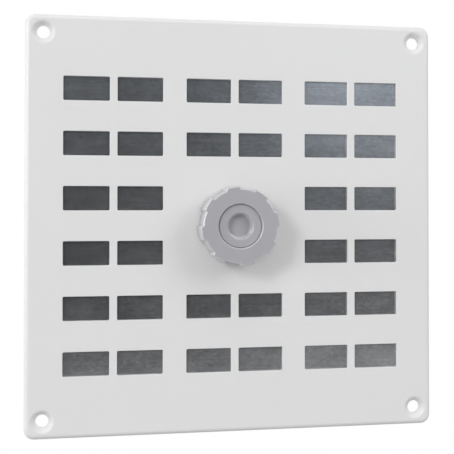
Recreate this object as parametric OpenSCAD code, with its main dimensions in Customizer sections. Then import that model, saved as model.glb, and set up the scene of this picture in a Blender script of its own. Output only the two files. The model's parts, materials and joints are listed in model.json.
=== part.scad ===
// Adjustable wall vent: a pressed face plate with rows of windows, a sliding
// shutter behind it and a clamp knob on the front. Millimetres.
// +X is right seen from the room, +Z is up, +Y goes into the wall.
// The wall plane is Y = 0 and the origin is the centre of the fixing pattern.
// Each piece is drawn lying on its back, X right, Y up and Z out to the room,
// and upright() then stands it against the wall.

/* [Face plate] */
// Width of the face plate
plate_w = 165; // [160:1:220]
// Height of the face plate
plate_h = 165; // [160:1:220]
// Depth of the plate from the wall to its face
plate_depth = 2.5; // [2.2:0.1:5]
// Thickness of the plate's sheet
plate_t = 1.0; // [0.6:0.1:1.2]
// Outer radius of the turned-back edge
edge_bend_r = 2.0; // [1.4:0.1:2.2]
// Radius of the plate's corners seen from the room
corner_r = 4.0; // [3:0.5:8]

/* [Windows] */
// Width of one window
window_w = 18.0; // [12:0.5:18.5]
// Height of one window
window_h = 9.5; // [6:0.25:10]
// Corner radius of a window
window_r = 0.5; // [0.2:0.1:1.5]
// Number of rows
rows = 6; // [4:2:6]
// Distance between rows, centre to centre
row_pitch = 21.5; // [20.5:0.25:22]
// Number of pairs of windows across
pairs = 3; // [1:2:3]
// Bar between the two windows of a pair
pair_bar = 3.0; // [2:0.25:4]
// Bar between two pairs
pair_gap = 9.3; // [7:0.25:10]
// Rows left out of the middle pair, behind the knob
bare_rows = 2; // [2:2:4]

/* [Fixing holes] */
// Diameter of a fixing hole
fixing_d = 5.0; // [3.5:0.1:5.6]
// Distance of a fixing hole from the plate's edges
fixing_inset = 7.0; // [6.9:0.1:8]
// Diameter of the pressed dimple at the face
dimple_d = 9.8; // [9.4:0.1:9.9]
// Width of the dimple's sloping wall seen from the room
dimple_slope = 1.5; // [1.3:0.1:1.6]
// Radius of the dimple's rounded brim
dimple_brim_r = 1.5; // [0.5:0.1:1.6]
// Radius of the dimple's rounded foot
dimple_foot_r = 0.3; // [0.2:0.05:0.4]

/* [Shutter] */
// Thickness of the shutter
shutter_t = 1.0; // [0.8:0.1:1.2]
// Gap between the back of the plate and the shutter
shutter_gap = 0.2; // [0.1:0.05:0.4]
// How far the shutter reaches past the windows above and below
shutter_lap = 2.5; // [1.5:0.1:3]
// How far the shutter reaches past the windows at each side
shutter_side_lap = 3.7; // [3:0.1:4]
// Corner radius of the shutter
shutter_corner_r = 3.0; // [1:0.5:5]

/* [Guides] */
// Thickness of the guides' sheet
guide_t = 1.0; // [0.6:0.1:1.2]
// Inner radius of the guides' bend
guide_bend_r = 0.5; // [0.2:0.1:1]
// Distance of the guides' ends from the dimples
guide_end_set = 1.25; // [0.5:0.25:10]
// Clearance of the shutter behind and at each side
guide_clear = 0.4; // [0.3:0.05:0.6]
// Distance of the guides' lips from the windows
guide_lip_set = 0.5; // [0.2:0.1:1]

/* [Clamp bolt] */
// Nominal diameter of the bolt
bolt_d = 5.0; // [4:0.5:5]
// Length of the bolt under its head
bolt_l = 10.0; // [9:0.5:11]
// Side of the bolt's square neck
neck_w = 5.4; // [5:0.1:5.8]
// Width of the chamfers on the neck's corners
neck_chamfer = 0.6; // [0.5:0.1:0.9]
// How far the neck's end lies below the face of the plate
neck_set = 0.2; // [0.1:0.05:0.5]
// Diameter of the bolt's head
head_d = 13.5; // [11:0.5:15]
// Height of the bolt's domed head
head_h = 3.0; // [2:0.1:3.5]
// Clearance around the neck in the slot
slot_clear = 0.3; // [0.1:0.05:0.4]
// Corner radius of the slot
slot_r = 0.5; // [0.2:0.1:0.5]
// Clearance around the neck in the shutter and the spacer washer
neck_clear = 0.1; // [0.05:0.05:0.2]

/* [Washers] */
// Diameter of the spacer washer between the bolt's head and the shutter
spacer_d = 14; // [11:0.5:18]
// Thickness of the spacer washer
spacer_t = 1.2; // [0.8:0.1:1.6]
// Diameter of the washer under the knob
washer_d = 15; // [12:0.5:18]
// Thickness of the washer under the knob
washer_t = 1.0; // [0.6:0.1:1.5]
// Clearance of the washer around the bolt
washer_clear = 0.15; // [0.05:0.05:0.4]
// Running gap on each side of the washer under the knob
seat_gap = 0.2; // [0.1:0.05:0.3]

/* [Knob] */
// Diameter over the lobes
knob_d = 31.0; // [29.6:0.2:33.4]
// Distance from the face of the plate to the knob's front
knob_reach = 13.5; // [13:0.25:18]
// Gap between the knob's skirt and the face of the plate
skirt_gap = 0.8; // [0.4:0.1:1.5]
// Number of lobes
lobes = 8; // [5:1:12]
// Depth of the flutes between the lobes
flute_depth = 0.95; // [0.5:0.05:1.3]
// Radius of a lobe's rounded flanks
lobe_r = 3.0; // [2.25:0.25:3.75]
// Distance from a lobe's top in to the centre of its flanks
lobe_set = 1.6; // [1.3:0.1:2]
// Angle of the first lobe, counted from +X towards +Z
lobe_turn = 11; // [0:1:44]
// Radius of the knob's front edge
knob_edge_r = 0.6; // [0.3:0.1:1]
// Wall at the bottom of a flute
knob_wall = 2.0; // [1.5:0.1:3]
// Thickness of the knob's front
knob_front_t = 2.0; // [1.5:0.1:3]
// Diameter of the ring recess at the front
recess_d = 17.7; // [15:0.1:20]
// Diameter of the ring recess at its floor
recess_floor_d = 16.9; // [14:0.1:17.5]
// Depth of the ring recess
recess_depth = 1.0; // [0.5:0.1:1.5]
// Diameter of the centre cup at its lip
cup_d = 10.5; // [9:0.1:11]
// Diameter of the centre cup's floor
cup_floor_d = 8.3; // [7:0.1:8.8]
// Height of the sloping lip around the cup
cup_lip_h = 1.05; // [0.5:0.05:1.2]
// Depth of the cup's floor below the knob's front
cup_depth = 3.4; // [2.8:0.1:4.5]
// Wall of the hub around the cup
hub_wall = 1.75; // [1.2:0.05:2.2]
// Ribs between the hub and the outer wall
ribs = 4; // [3:1:8]
// Thickness of a rib
rib_t = 1.4; // [1:0.1:2]
// Distance of the ribs from the skirt's edge
rib_set = 2.5; // [1:0.1:5]

/* [Threaded insert] */
// Diameter of the insert
insert_d = 7.5; // [6.5:0.1:8.5]
// Length of the insert
insert_l = 6.0; // [5:0.5:6.5]
// Depth of the groove around the insert
insert_groove = 0.5; // [0.2:0.1:0.6]
// Clearance of the knob around and beyond the bolt's tip
tip_clear = 0.5; // [0.3:0.1:0.8]
// Running clearance of the bolt in the insert
thread_clear = 0.05; // [0.02:0.01:0.1]
// Clearance of the hub around the insert
insert_fit = 0.02; // [0.01:0.01:0.05]

/* [Hidden] */
$fn = 64;
arc_steps = 6;
corner_steps = 3;
through = 1;

// Travel of the shutter from closed to open
travel = row_pitch / 2;

// Levels above the wall, counted out to the room
face_z = plate_depth;
sheet_z = plate_depth - plate_t;
shutter_front_z = sheet_z - shutter_gap;
shutter_back_z = shutter_front_z - shutter_t;
head_z = shutter_back_z - spacer_t;
guide_back_z = shutter_back_z - guide_clear - guide_t;
neck_end_z = face_z - neck_set;
washer_z = face_z + seat_gap;
hub_end_z = washer_z + washer_t + seat_gap;
skirt_z = face_z + skirt_gap;
knob_face_z = face_z + knob_reach;
recess_z = knob_face_z - recess_depth;
cup_floor_z = knob_face_z - cup_depth;
insert_end_z = hub_end_z + insert_l;
bolt_end_z = head_z + bolt_l;

// The windows' pattern
pair_pitch = 2 * window_w + pair_bar + pair_gap;
window_step = window_w + pair_bar;
pattern_w = pairs * pair_pitch - pair_gap;
pattern_h = (rows - 1) * row_pitch + window_h;

// The dimples' slope, as deep as the sheet's back lies above the wall
dimple_angle = atan2(sheet_z, dimple_slope);
slope_brim_r = dimple_d / 2 - dimple_brim_r * tan(dimple_angle / 2);
slope_foot_r = slope_brim_r - dimple_slope;

// The shutter and its guides
shutter_w = pattern_w + 2 * shutter_side_lap;
shutter_top = pattern_h / 2 + shutter_lap;
shutter_bottom = -pattern_h / 2 - travel - shutter_lap;
lip_x = pattern_w / 2 + guide_lip_set;
web_x = shutter_w / 2 + guide_clear;
guide_l = plate_h - 2 * fixing_inset - dimple_d - 2 * guide_end_set;

// The knob
hub_r = cup_d / 2 + hub_wall;
skirt_inner_r = knob_d / 2 - flute_depth - knob_wall;
pocket_top_z = recess_z - knob_front_t;
insert_bore_r = insert_d / 2 + insert_fit;
tip_bore_r = bolt_d / 2 + tip_clear;
tip_bore_z = max(bolt_end_z, insert_end_z) + tip_clear;

// Points of an arc around [cx, cy] from angle a0 to a1
function arc(cx, cy, r, a0, a1, steps) =
    [for (i = [0:steps]) let (a = a0 + (a1 - a0) * i / steps) [cx + r * cos(a), cy + r * sin(a)]];

// Stands a piece drawn flat on its back against the wall
module upright() {
    rotate([90, 0, 0]) children();
}

// Cylinder between two levels
module disc(d, z0, z1) {
    translate([0, 0, z0]) cylinder(d = d, h = z1 - z0);
}

// Rectangle with rounded corners, centred
module round_rect(w, h, r) {
    x = w / 2 - r;
    y = h / 2 - r;
    polygon(concat(
        arc(x, y, r, 0, 90, corner_steps),
        arc(-x, y, r, 90, 180, corner_steps),
        arc(-x, -y, r, 180, 270, corner_steps),
        arc(x, -y, r, 270, 360, corner_steps)
    ));
}

// All windows of the pattern, without those behind the knob
module windows() {
    for (row = [0:rows - 1]) {
        y = (row - (rows - 1) / 2) * row_pitch;
        for (pair = [0:pairs - 1]) {
            x = (pair - (pairs - 1) / 2) * pair_pitch;
            middle = abs(x) < pair_pitch / 2;
            behind_knob = middle && abs(y) < bare_rows * row_pitch / 2;
            if (!behind_knob) {
                for (side = [-1, 1]) {
                    translate([x + side * window_step / 2, y]) round_rect(window_w, window_h, window_r);
                }
            }
        }
    }
}

// Places a child at each fixing hole
module at_fixing_holes() {
    for (sx = [-1, 1]) {
        for (sy = [-1, 1]) {
            translate([sx * (plate_w / 2 - fixing_inset), sy * (plate_h / 2 - fixing_inset), 0]) children();
        }
    }
}

// Section of the turned-back edge, bent from the face's level down to the wall
module edge_section() {
    bend_z = face_z - edge_bend_r;
    difference() {
        union() {
            intersection() {
                translate([0, bend_z]) circle(r = edge_bend_r);
                translate([0, bend_z]) square(edge_bend_r);
            }
            square([edge_bend_r, bend_z]);
        }
        translate([0, bend_z]) circle(r = edge_bend_r - plate_t);
        square([edge_bend_r - plate_t, bend_z]);
    }
}

// Turned-back edge along one side of the plate, beyond a corner-to-corner length
module straight_edge(length) {
    rotate([90, 0, 0]) translate([0, 0, -length / 2]) linear_extrude(length) edge_section();
}

// Corner of the plate: the face and the turned-back edge drawn round together
module round_corner(flat_r) {
    rotate_extrude(angle = 90) {
        translate([0, sheet_z]) square([flat_r, plate_t]);
        translate([flat_r, 0]) edge_section();
    }
}

// Slot for the bolt's neck, long enough for the shutter's travel
module neck_slot() {
    slot_w = neck_w + 2 * slot_clear;
    translate([0, travel / 2]) round_rect(slot_w, slot_w + travel, slot_r);
}

// The tray that the sheet is pressed into, with its windows and slot
module pressed_tray() {
    flat_w = plate_w - 2 * edge_bend_r;
    flat_h = plate_h - 2 * edge_bend_r;
    flat_r = corner_r - edge_bend_r;
    side_w = flat_w - 2 * flat_r;
    side_h = flat_h - 2 * flat_r;
    translate([0, 0, sheet_z]) linear_extrude(plate_t) difference() {
        polygon([
            [flat_w / 2, -side_h / 2], [flat_w / 2, side_h / 2], [side_w / 2, side_h / 2],
            [side_w / 2, flat_h / 2], [-side_w / 2, flat_h / 2], [-side_w / 2, side_h / 2],
            [-flat_w / 2, side_h / 2], [-flat_w / 2, -side_h / 2], [-side_w / 2, -side_h / 2],
            [-side_w / 2, -flat_h / 2], [side_w / 2, -flat_h / 2], [side_w / 2, -side_h / 2]
        ]);
        windows();
        neck_slot();
    }
    for (turn = [0, 180]) {
        rotate([0, 0, turn]) translate([flat_w / 2, 0, 0]) straight_edge(side_h);
        rotate([0, 0, turn + 90]) translate([flat_h / 2, 0, 0]) straight_edge(side_w);
        rotate([0, 0, turn]) translate([side_w / 2, side_h / 2, 0]) round_corner(flat_r);
        rotate([0, 0, turn + 90]) translate([side_h / 2, side_w / 2, 0]) round_corner(flat_r);
    }
}

// Hollow pressed into the face around a fixing hole, with its foot and brim rounded
module dimple_hollow() {
    foot_x = slope_foot_r - dimple_foot_r * tan(dimple_angle / 2);
    rotate_extrude() polygon(concat(
        [[0, plate_t]],
        arc(foot_x, plate_t + dimple_foot_r, dimple_foot_r, 270, 270 + dimple_angle, arc_steps),
        arc(dimple_d / 2, face_z - dimple_brim_r, dimple_brim_r, 90 + dimple_angle, 90, arc_steps),
        [[dimple_d / 2, face_z + through], [0, face_z + through]]
    ));
}

// The same hollow seen from behind: the sheet keeps its thickness and bulges down to the wall
module dimple_bulge() {
    reach = plate_t * tan(dimple_angle / 2);
    cylinder(r1 = slope_foot_r + reach, r2 = slope_brim_r + reach, h = sheet_z);
}

module front_plate() {
    color("white") upright() difference() {
        union() {
            pressed_tray();
            at_fixing_holes() dimple_bulge();
        }
        at_fixing_holes() {
            dimple_hollow();
            disc(fixing_d, -through, face_z + through);
        }
    }
}

// Folded angle strip: its web is welded to the plate by the edge and its lip reaches behind the shutter
module guide_section() {
    bend_x = web_x - guide_bend_r;
    bend_z = guide_back_z + guide_t + guide_bend_r;
    polygon(concat(
        [[web_x + guide_t, sheet_z], [web_x, sheet_z]],
        arc(bend_x, bend_z, guide_bend_r, 0, -90, arc_steps),
        [[lip_x, guide_back_z + guide_t], [lip_x, guide_back_z]],
        arc(bend_x, bend_z, guide_bend_r + guide_t, -90, 0, arc_steps)
    ));
}

module right_guide() {
    color("whitesmoke") upright() translate([0, guide_l / 2, 0]) rotate([90, 0, 0])
        linear_extrude(guide_l) guide_section();
}

module left_guide() {
    mirror([1, 0, 0]) right_guide();
}

// Square hole that takes the bolt's neck
module neck_hole() {
    square(neck_w + 2 * neck_clear, center = true);
}

// The shutter is drawn closed: its windows lie half a row below the plate's
module shutter_plate() {
    color("silver") upright() translate([0, 0, shutter_back_z]) linear_extrude(shutter_t) difference() {
        translate([0, (shutter_top + shutter_bottom) / 2])
            round_rect(shutter_w, shutter_top - shutter_bottom, shutter_corner_r);
        translate([0, -travel]) windows();
        neck_hole();
    }
}

// Domed head, square neck and shank
module clamp_bolt() {
    dome_r = (pow(head_d / 2, 2) + pow(head_h, 2)) / (2 * head_h);
    color("gainsboro") upright() {
        rotate_extrude() intersection() {
            translate([0, head_z - head_h + dome_r]) circle(r = dome_r, $fn = 180);
            translate([0, head_z - head_h]) square([head_d, head_h]);
        }
        translate([0, 0, head_z]) linear_extrude(neck_end_z - head_z) intersection() {
            square(neck_w, center = true);
            rotate(45) square((neck_w - neck_chamfer) * sqrt(2), center = true);
        }
        disc(bolt_d, neck_end_z, bolt_end_z);
    }
}

// Takes up the length of the bolt's neck behind the shutter
module spacer_washer() {
    color("dimgray") upright() translate([0, 0, head_z]) linear_extrude(spacer_t) difference() {
        circle(d = spacer_d);
        neck_hole();
    }
}

module knob_washer() {
    color("lightgray") upright() difference() {
        disc(washer_d, washer_z, washer_z + washer_t);
        disc(bolt_d + 2 * washer_clear, washer_z - through, washer_z + washer_t + through);
    }
}

// Knob's section without its flutes: front, rounded edge, skirt, pocket and hub
module knob_section() {
    outer_r = knob_d / 2;
    edge_x = outer_r - knob_edge_r;
    edge_z = knob_face_z - knob_edge_r;
    polygon(concat(
        [[0, cup_floor_z], [cup_floor_d / 2, cup_floor_z], [cup_floor_d / 2, recess_z - cup_lip_h],
         [cup_d / 2, recess_z], [recess_floor_d / 2, recess_z], [recess_d / 2, knob_face_z]],
        arc(edge_x, edge_z, knob_edge_r, 90, 0, arc_steps),
        [[outer_r, skirt_z], [skirt_inner_r, skirt_z], [skirt_inner_r, pocket_top_z], [hub_r, pocket_top_z],
         [hub_r, hub_end_z], [insert_bore_r, hub_end_z], [insert_bore_r, insert_end_z],
         [tip_bore_r, insert_end_z], [tip_bore_r, tip_bore_z], [0, tip_bore_z]]
    ));
}

// The flutes that leave the lobes standing: all that lies outside their floor and the lobes
module flutes() {
    difference() {
        disc(knob_d + 2 * through, skirt_z - through, knob_face_z + through);
        disc(knob_d - 2 * flute_depth, skirt_z - 2 * through, knob_face_z + 2 * through);
        for (i = [0:lobes - 1]) {
            rotate([0, 0, lobe_turn + i * 360 / lobes]) translate([knob_d / 2 - lobe_set, 0, 0])
                disc(2 * lobe_r, skirt_z - 2 * through, knob_face_z + 2 * through);
        }
    }
}

// Ribs that tie the outer wall to the hub inside the knob
module knob_ribs() {
    rib_z = skirt_z + rib_set;
    for (i = [0:ribs - 1]) {
        rotate([0, 0, lobe_turn + i * 360 / ribs]) translate([hub_r - rib_t / 2, -rib_t / 2, rib_z])
            cube([skirt_inner_r - hub_r + rib_t, rib_t, pocket_top_z - rib_z + rib_t / 2]);
    }
}

module knob() {
    color("silver") upright() union() {
        difference() {
            rotate_extrude() knob_section();
            flutes();
        }
        knob_ribs();
    }
}

// Brass sleeve with a groove around its middle that the knob's plastic grips
module knob_insert() {
    groove_l = insert_l / 3;
    groove_z = (hub_end_z + insert_end_z - groove_l) / 2;
    color("goldenrod") upright() difference() {
        disc(insert_d, hub_end_z, insert_end_z);
        difference() {
            disc(insert_d + 2 * through, groove_z, groove_z + groove_l);
            disc(insert_d - 2 * insert_groove, groove_z - through, groove_z + groove_l + through);
        }
        disc(bolt_d + 2 * thread_clear, hub_end_z - through, insert_end_z + through);
    }
}

front_plate();
left_guide();
right_guide();
shutter_plate();
clamp_bolt();
spacer_washer();
knob_washer();
knob();
knob_insert();
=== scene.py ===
"""Looks of an adjustable wall vent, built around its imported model.

The vent is a white coated face plate with rows of windows, a bare metal shutter that slides behind it and a
grey clamp knob. Sizes are in millimetres as the pieces are drawn, lying on their backs: x right, y up and h
out to the room, with the wall plane at h = 0. The meshes, the studio and the camera are in metres in the
frame's own axes.
"""

from __future__ import annotations

import itertools
import json
import logging
import math
from collections.abc import Sequence
from dataclasses import dataclass, field
from enum import Enum
from typing import Any

import bmesh
import bpy
import numpy as np
from mathutils import Matrix, Vector
from mathutils.geometry import tessellate_polygon

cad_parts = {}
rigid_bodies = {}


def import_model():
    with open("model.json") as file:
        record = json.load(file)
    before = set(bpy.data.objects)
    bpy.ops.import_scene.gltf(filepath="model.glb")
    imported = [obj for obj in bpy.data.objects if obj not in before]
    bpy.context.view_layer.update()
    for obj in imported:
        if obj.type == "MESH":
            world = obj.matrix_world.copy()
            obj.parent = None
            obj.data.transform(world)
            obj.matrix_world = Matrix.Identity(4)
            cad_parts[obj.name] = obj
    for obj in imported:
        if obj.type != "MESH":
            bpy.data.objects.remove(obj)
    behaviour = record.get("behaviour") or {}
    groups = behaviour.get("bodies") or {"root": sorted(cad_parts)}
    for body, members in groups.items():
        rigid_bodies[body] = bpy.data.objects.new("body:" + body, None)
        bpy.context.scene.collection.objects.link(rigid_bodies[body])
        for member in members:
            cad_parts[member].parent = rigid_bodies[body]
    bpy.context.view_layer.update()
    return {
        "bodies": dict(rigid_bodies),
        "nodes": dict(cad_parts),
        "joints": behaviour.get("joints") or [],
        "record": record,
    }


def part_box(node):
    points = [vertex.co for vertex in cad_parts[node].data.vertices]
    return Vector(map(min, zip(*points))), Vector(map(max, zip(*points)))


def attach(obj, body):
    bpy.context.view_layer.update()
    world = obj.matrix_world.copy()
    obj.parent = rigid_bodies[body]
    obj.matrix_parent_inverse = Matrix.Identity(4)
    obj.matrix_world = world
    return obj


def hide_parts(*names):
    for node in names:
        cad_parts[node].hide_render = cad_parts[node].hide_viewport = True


LOG = logging.getLogger("wall_vent")
MM = 0.001
WELD_DISTANCE = 1e-7

Triple = tuple[float, float, float]
Pair = tuple[float, float]


class Body(Enum):
    """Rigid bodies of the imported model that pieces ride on."""

    PLATE = "plate"
    SHUTTER = "shutter"
    KNOB_SEAT = "knob_seat"
    KNOB = "knob"


class Slot(Enum):
    """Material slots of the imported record."""

    WHITE_COAT = "white_coat"
    SHUTTER_METAL = "shutter_metal"
    ZINC = "zinc"
    SPACER = "spacer_plastic"
    KNOB = "knob_plastic"
    BRASS = "insert_brass"


# Shader maths


class Term:
    """A shader value on which Python's operators build Math nodes."""

    def __init__(self, tree: bpy.types.NodeTree, socket: bpy.types.NodeSocket) -> None:
        """Wraps one output socket of a tree."""
        self.tree = tree
        self.socket = socket

    def _math(self, operation: str, first: Term | float, second: Term | float) -> Term:
        """Adds one Math node.

        Args:
            operation: The node's operation, such as ADD.
            first: Left value.
            second: Right value.

        Returns:
            The node's result.
        """
        node = self.tree.nodes.new("ShaderNodeMath")
        node.operation = operation
        for place, value in enumerate((first, second)):
            if isinstance(value, Term):
                self.tree.links.new(value.socket, node.inputs[place])
            else:
                node.inputs[place].default_value = value
        return Term(self.tree, node.outputs[0])

    def __add__(self, other: Term | float) -> Term:
        """Sum of two values."""
        return self._math("ADD", self, other)

    def __radd__(self, other: float) -> Term:
        """Sum with a number on the left."""
        return self._math("ADD", other, self)

    def __sub__(self, other: Term | float) -> Term:
        """Difference of two values."""
        return self._math("SUBTRACT", self, other)

    def __rsub__(self, other: float) -> Term:
        """A number less this value."""
        return self._math("SUBTRACT", other, self)

    def __mul__(self, other: Term | float) -> Term:
        """Product of two values."""
        return self._math("MULTIPLY", self, other)

    def __rmul__(self, other: float) -> Term:
        """Product with a number on the left."""
        return self._math("MULTIPLY", other, self)

    def __truediv__(self, other: Term | float) -> Term:
        """Quotient of two values."""
        return self._math("DIVIDE", self, other)

    def clipped(self) -> Term:
        """This value held between 0 and 1."""
        return self._math("MAXIMUM", self._math("MINIMUM", self, 1.0), 0.0)


def swing(pattern: Term, size: float) -> Term:
    """A pattern between 0 and 1 made to swing around 0 by half a size to each side."""
    return size * (pattern - 0.5)


def band(value: Term, limits: Pair) -> Term:
    """Smooth step of a value from 0 at the first limit to 1 at the second."""
    step = ((value - limits[0]) / (limits[1] - limits[0])).clipped()
    return step * step * (3 - 2 * step)


@dataclass(frozen=True)
class Pattern:
    """A soft random pattern of a finish, and how far it swings the finish's tone and roughness."""

    size_mm: float
    detail: float = 2.0
    stretch: Triple = (1.0, 1.0, 1.0)
    tone: float = 0.0
    sheen: float = 0.0


class Recipe:
    """Nodes of one material or of the world, with the surface's own coordinates at hand."""

    def __init__(self, owner: bpy.types.Material | bpy.types.World) -> None:
        """Starts the owner's nodes afresh.

        Args:
            owner: The material or the world.
        """
        self.owner = owner
        owner.use_nodes = True
        self.tree = owner.node_tree
        self.tree.nodes.clear()

    @classmethod
    def of_material(cls, name: str) -> Recipe:
        """Recipe of a new material with that name."""
        return cls(bpy.data.materials.new(name))

    def node(
        self,
        kind: str,
        settings: dict[str, Any] | None = None,
        sockets: dict[str | int, Any] | None = None,
    ) -> bpy.types.Node:
        """Adds one node.

        Args:
            kind: Type of the node, without its ShaderNode prefix.
            settings: Properties of the node, set first.
            sockets: Value, Term or output socket for each input, by name or number.

        Returns:
            The new node.
        """
        made = self.tree.nodes.new("ShaderNode" + kind)
        for name, value in (settings or {}).items():
            setattr(made, name, value)
        for name, value in (sockets or {}).items():
            if isinstance(value, Term):
                value = value.socket
            if isinstance(value, bpy.types.NodeSocket):
                self.tree.links.new(value, made.inputs[name])
            else:
                made.inputs[name].default_value = value
        return made

    def term(self, socket: bpy.types.NodeSocket) -> Term:
        """An output socket as a value for Python's operators."""
        return Term(self.tree, socket)

    def place(self, scale: Triple = (1, 1, 1)) -> bpy.types.NodeSocket:
        """Object coordinates of the surface, stretched by a scale for each axis."""
        own = self.node("TexCoord").outputs["Object"]
        return self.node("Mapping", sockets={"Vector": own, "Scale": scale}).outputs["Vector"]

    def noise(self, pattern: Pattern) -> Term:
        """Value of a soft random pattern over the surface, between 0 and 1.

        Args:
            pattern: Size of its patches, number of finer layers and stretch.

        Returns:
            The pattern's value.
        """
        where = self.place(pattern.stretch)
        scale = 1 / (pattern.size_mm * MM)
        made = self.node("TexNoise", sockets={"Vector": where, "Scale": scale, "Detail": pattern.detail})
        return self.term(made.outputs["Fac"])

    def bump(self, height: Term, depth_mm: float, strength: float) -> bpy.types.NodeSocket:
        """Normal of a relief whose value spans a depth."""
        sockets = {"Height": height, "Distance": depth_mm * MM, "Strength": strength}
        return self.node("Bump", sockets=sockets).outputs["Normal"]

    def blend(self, share: Term, first: Triple, second: Triple) -> bpy.types.NodeSocket:
        """Mixes two colours.

        Args:
            share: Share of the second colour, between 0 and 1.
            first: Colour at a share of 0.
            second: Colour at a share of 1.

        Returns:
            The colour between them.
        """
        # A Mix node has its colours in inputs 6 and 7 and in output 2.
        sockets = {0: share, 6: (*first, 1.0), 7: (*second, 1.0)}
        return self.node("Mix", {"data_type": "RGBA"}, sockets).outputs[2]

    def tinted(self, share: Term, colour: Triple, tones: Pair) -> bpy.types.NodeSocket:
        """Colour between a darker and a lighter tone of one colour, by a share between 0 and 1."""
        darker, lighter = (tuple(min(1.0, part * tone) for part in colour) for tone in tones)
        return self.blend(share, darker, lighter)

    def seen(self) -> Term:
        """Tells the rays that see the surroundings from those that light the vent.

        Returns:
            1 on rays from the camera, from a reflection and through glass, and 0 on others.
        """
        path = self.node("LightPath").outputs
        direct = self.term(path["Is Camera Ray"]) + self.term(path["Is Glossy Ray"])
        return (direct + self.term(path["Is Transmission Ray"])).clipped()

    def end(self, shader: bpy.types.Node, output: str = "OutputMaterial") -> None:
        """Feeds a shader to the output node."""
        self.node(output, sockets={"Surface": shader.outputs[0]})

    def surface(self, sockets: dict[str, Any]) -> bpy.types.Material:
        """Ends the material with a Principled shader.

        Args:
            sockets: Values or links of the shader's inputs.

        Returns:
            The finished material.
        """
        self.end(self.node("BsdfPrincipled", sockets=sockets))
        return self.owner


# Finishes


@dataclass(frozen=True)
class PowderCoat:
    """White powder coat on sheet steel: faint orange peel under a low sheen."""

    colour: Triple = (0.765, 0.765, 0.765)
    tones: Pair = (0.988, 1.012)
    roughness: float = 0.38
    specular: float = 0.45
    peel: Pattern = Pattern(0.9, sheen=0.05)
    patches: Pattern = Pattern(30.0)
    dust: Pattern = Pattern(0.25, detail=1.0, sheen=0.03)
    relief_mm: float = 0.012
    relief_strength: float = 0.35

    def material(self) -> bpy.types.Material:
        """Builds the coat's material.

        Returns:
            The finished material.
        """
        recipe = Recipe.of_material("white_powder_coat")
        peel, patches, dust = (recipe.noise(pattern) for pattern in (self.peel, self.patches, self.dust))
        return recipe.surface({
            "Base Color": recipe.tinted(patches, self.colour, self.tones),
            "Roughness": self.roughness + swing(peel, self.peel.sheen) + swing(dust, self.dust.sheen),
            "Specular IOR Level": self.specular,
            "Normal": recipe.bump(peel, self.relief_mm, self.relief_strength),
        })


@dataclass(frozen=True)
class RolledMetal:
    """Bare rolled sheet: satin, bluish, with fine rolling lines across the shutter."""

    colour: Triple = (0.453, 0.466, 0.486)
    tones: Pair = (0.71, 1.29)
    roughness: float = 0.18
    metallic: float = 0.86
    lines: Pattern = Pattern(0.35, stretch=(0.012, 1.0, 1.0), tone=0.7)
    clouds: Pattern = Pattern(9.0, detail=4.0, stretch=(0.5, 1.0, 1.0), tone=1.1, sheen=0.04)
    grain: Pattern = Pattern(0.9, stretch=(0.6, 1.0, 1.0), tone=1.0, sheen=0.06)
    relief_mm: float = 0.002
    relief_strength: float = 0.5

    def material(self) -> bpy.types.Material:
        """Builds the sheet's material.

        Returns:
            The finished material.
        """
        recipe = Recipe.of_material("rolled_sheet")
        lines, clouds, grain = (recipe.noise(pattern) for pattern in (self.lines, self.clouds, self.grain))
        tone = 0.5 + swing(lines, self.lines.tone) + swing(clouds, self.clouds.tone)
        tone = (tone + swing(grain, self.grain.tone)).clipped()
        return recipe.surface({
            "Base Color": recipe.tinted(tone, self.colour, self.tones),
            "Metallic": self.metallic,
            "Roughness": self.roughness + swing(clouds, self.clouds.sheen) + swing(grain, self.grain.sheen),
            "Normal": recipe.bump(lines, self.relief_mm, self.relief_strength),
        })


@dataclass(frozen=True)
class CloudedMetal:
    """Metal of small parts whose tone and sheen drift in clouds, over fine marks in relief."""

    name: str
    colour: Triple
    tones: Pair
    roughness: float
    clouds: Pattern
    marks: Pattern
    relief_mm: float
    relief_strength: float = 0.4

    def material(self) -> bpy.types.Material:
        """Builds the metal's material.

        Returns:
            The finished material.
        """
        recipe = Recipe.of_material(self.name)
        clouds, marks = recipe.noise(self.clouds), recipe.noise(self.marks)
        return recipe.surface({
            "Base Color": recipe.tinted(clouds, self.colour, self.tones),
            "Metallic": 1.0,
            "Roughness": self.roughness + swing(clouds, self.clouds.sheen),
            "Normal": recipe.bump(marks, self.relief_mm, self.relief_strength),
        })


@dataclass(frozen=True)
class ZincPlate(CloudedMetal):
    """Bright zinc on small steel parts, slightly cloudy."""

    name: str = "zinc_plate"
    colour: Triple = (0.62, 0.63, 0.62)
    tones: Pair = (0.88, 1.08)
    roughness: float = 0.3
    clouds: Pattern = Pattern(2.5, detail=3.0, sheen=0.14)
    marks: Pattern = Pattern(0.3)
    relief_mm: float = 0.006


@dataclass(frozen=True)
class TurnedBrass(CloudedMetal):
    """Turned brass with fine tool marks around its axis."""

    name: str = "turned_brass"
    colour: Triple = (0.72, 0.53, 0.24)
    tones: Pair = (0.85, 1.05)
    roughness: float = 0.28
    clouds: Pattern = Pattern(1.5, sheen=0.1)
    marks: Pattern = Pattern(0.12, detail=1.0, stretch=(0.1, 1.0, 0.1))
    relief_mm: float = 0.005


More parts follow.
